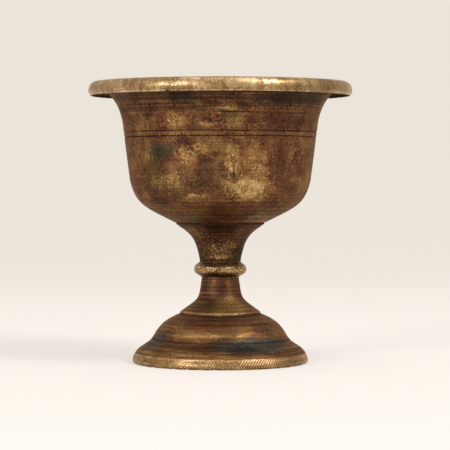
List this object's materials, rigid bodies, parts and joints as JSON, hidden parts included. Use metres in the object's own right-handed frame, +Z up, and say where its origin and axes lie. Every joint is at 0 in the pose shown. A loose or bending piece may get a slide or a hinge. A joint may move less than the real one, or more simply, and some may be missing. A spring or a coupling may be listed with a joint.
{
  "type": "pedestal ritual cup",
  "caption": "Pedestal ritual cup in turned brass: deep round bowl with an out-turned thick rim, funnel stem with a knop ring, and a hollow stepped foot.",
  "frame": {"origin": "centre of the foot's underside, on the surface the cup stands on", "axes": "+Z up along the turning axis, from the foot to the rim"},
  "size_m": [0.1424, 0.1424, 0.1512],
  "materials": {
    "foot_brass": "lathe-turned brass, brown patina, rubbed bright on the outer edge",
    "rove_brass": "dull brass washer",
    "knop_brass": "turned brass, rubbed bright by handling",
    "stem_brass": "turned brass, dark brown patina",
    "hard_solder": "brass hard solder, dull and darkened",
    "bowl_brass": "cast and turned brass, mottled brown and gold patina, worn bright on the rim"
  },
  "bodies": {
    "root": {"foot": "foot_brass", "rove": "rove_brass", "knop_ring": "knop_brass", "upper_stem": "stem_brass", "solder_layer": "hard_solder", "bowl": "bowl_brass"}
  },
  "joints": []
}
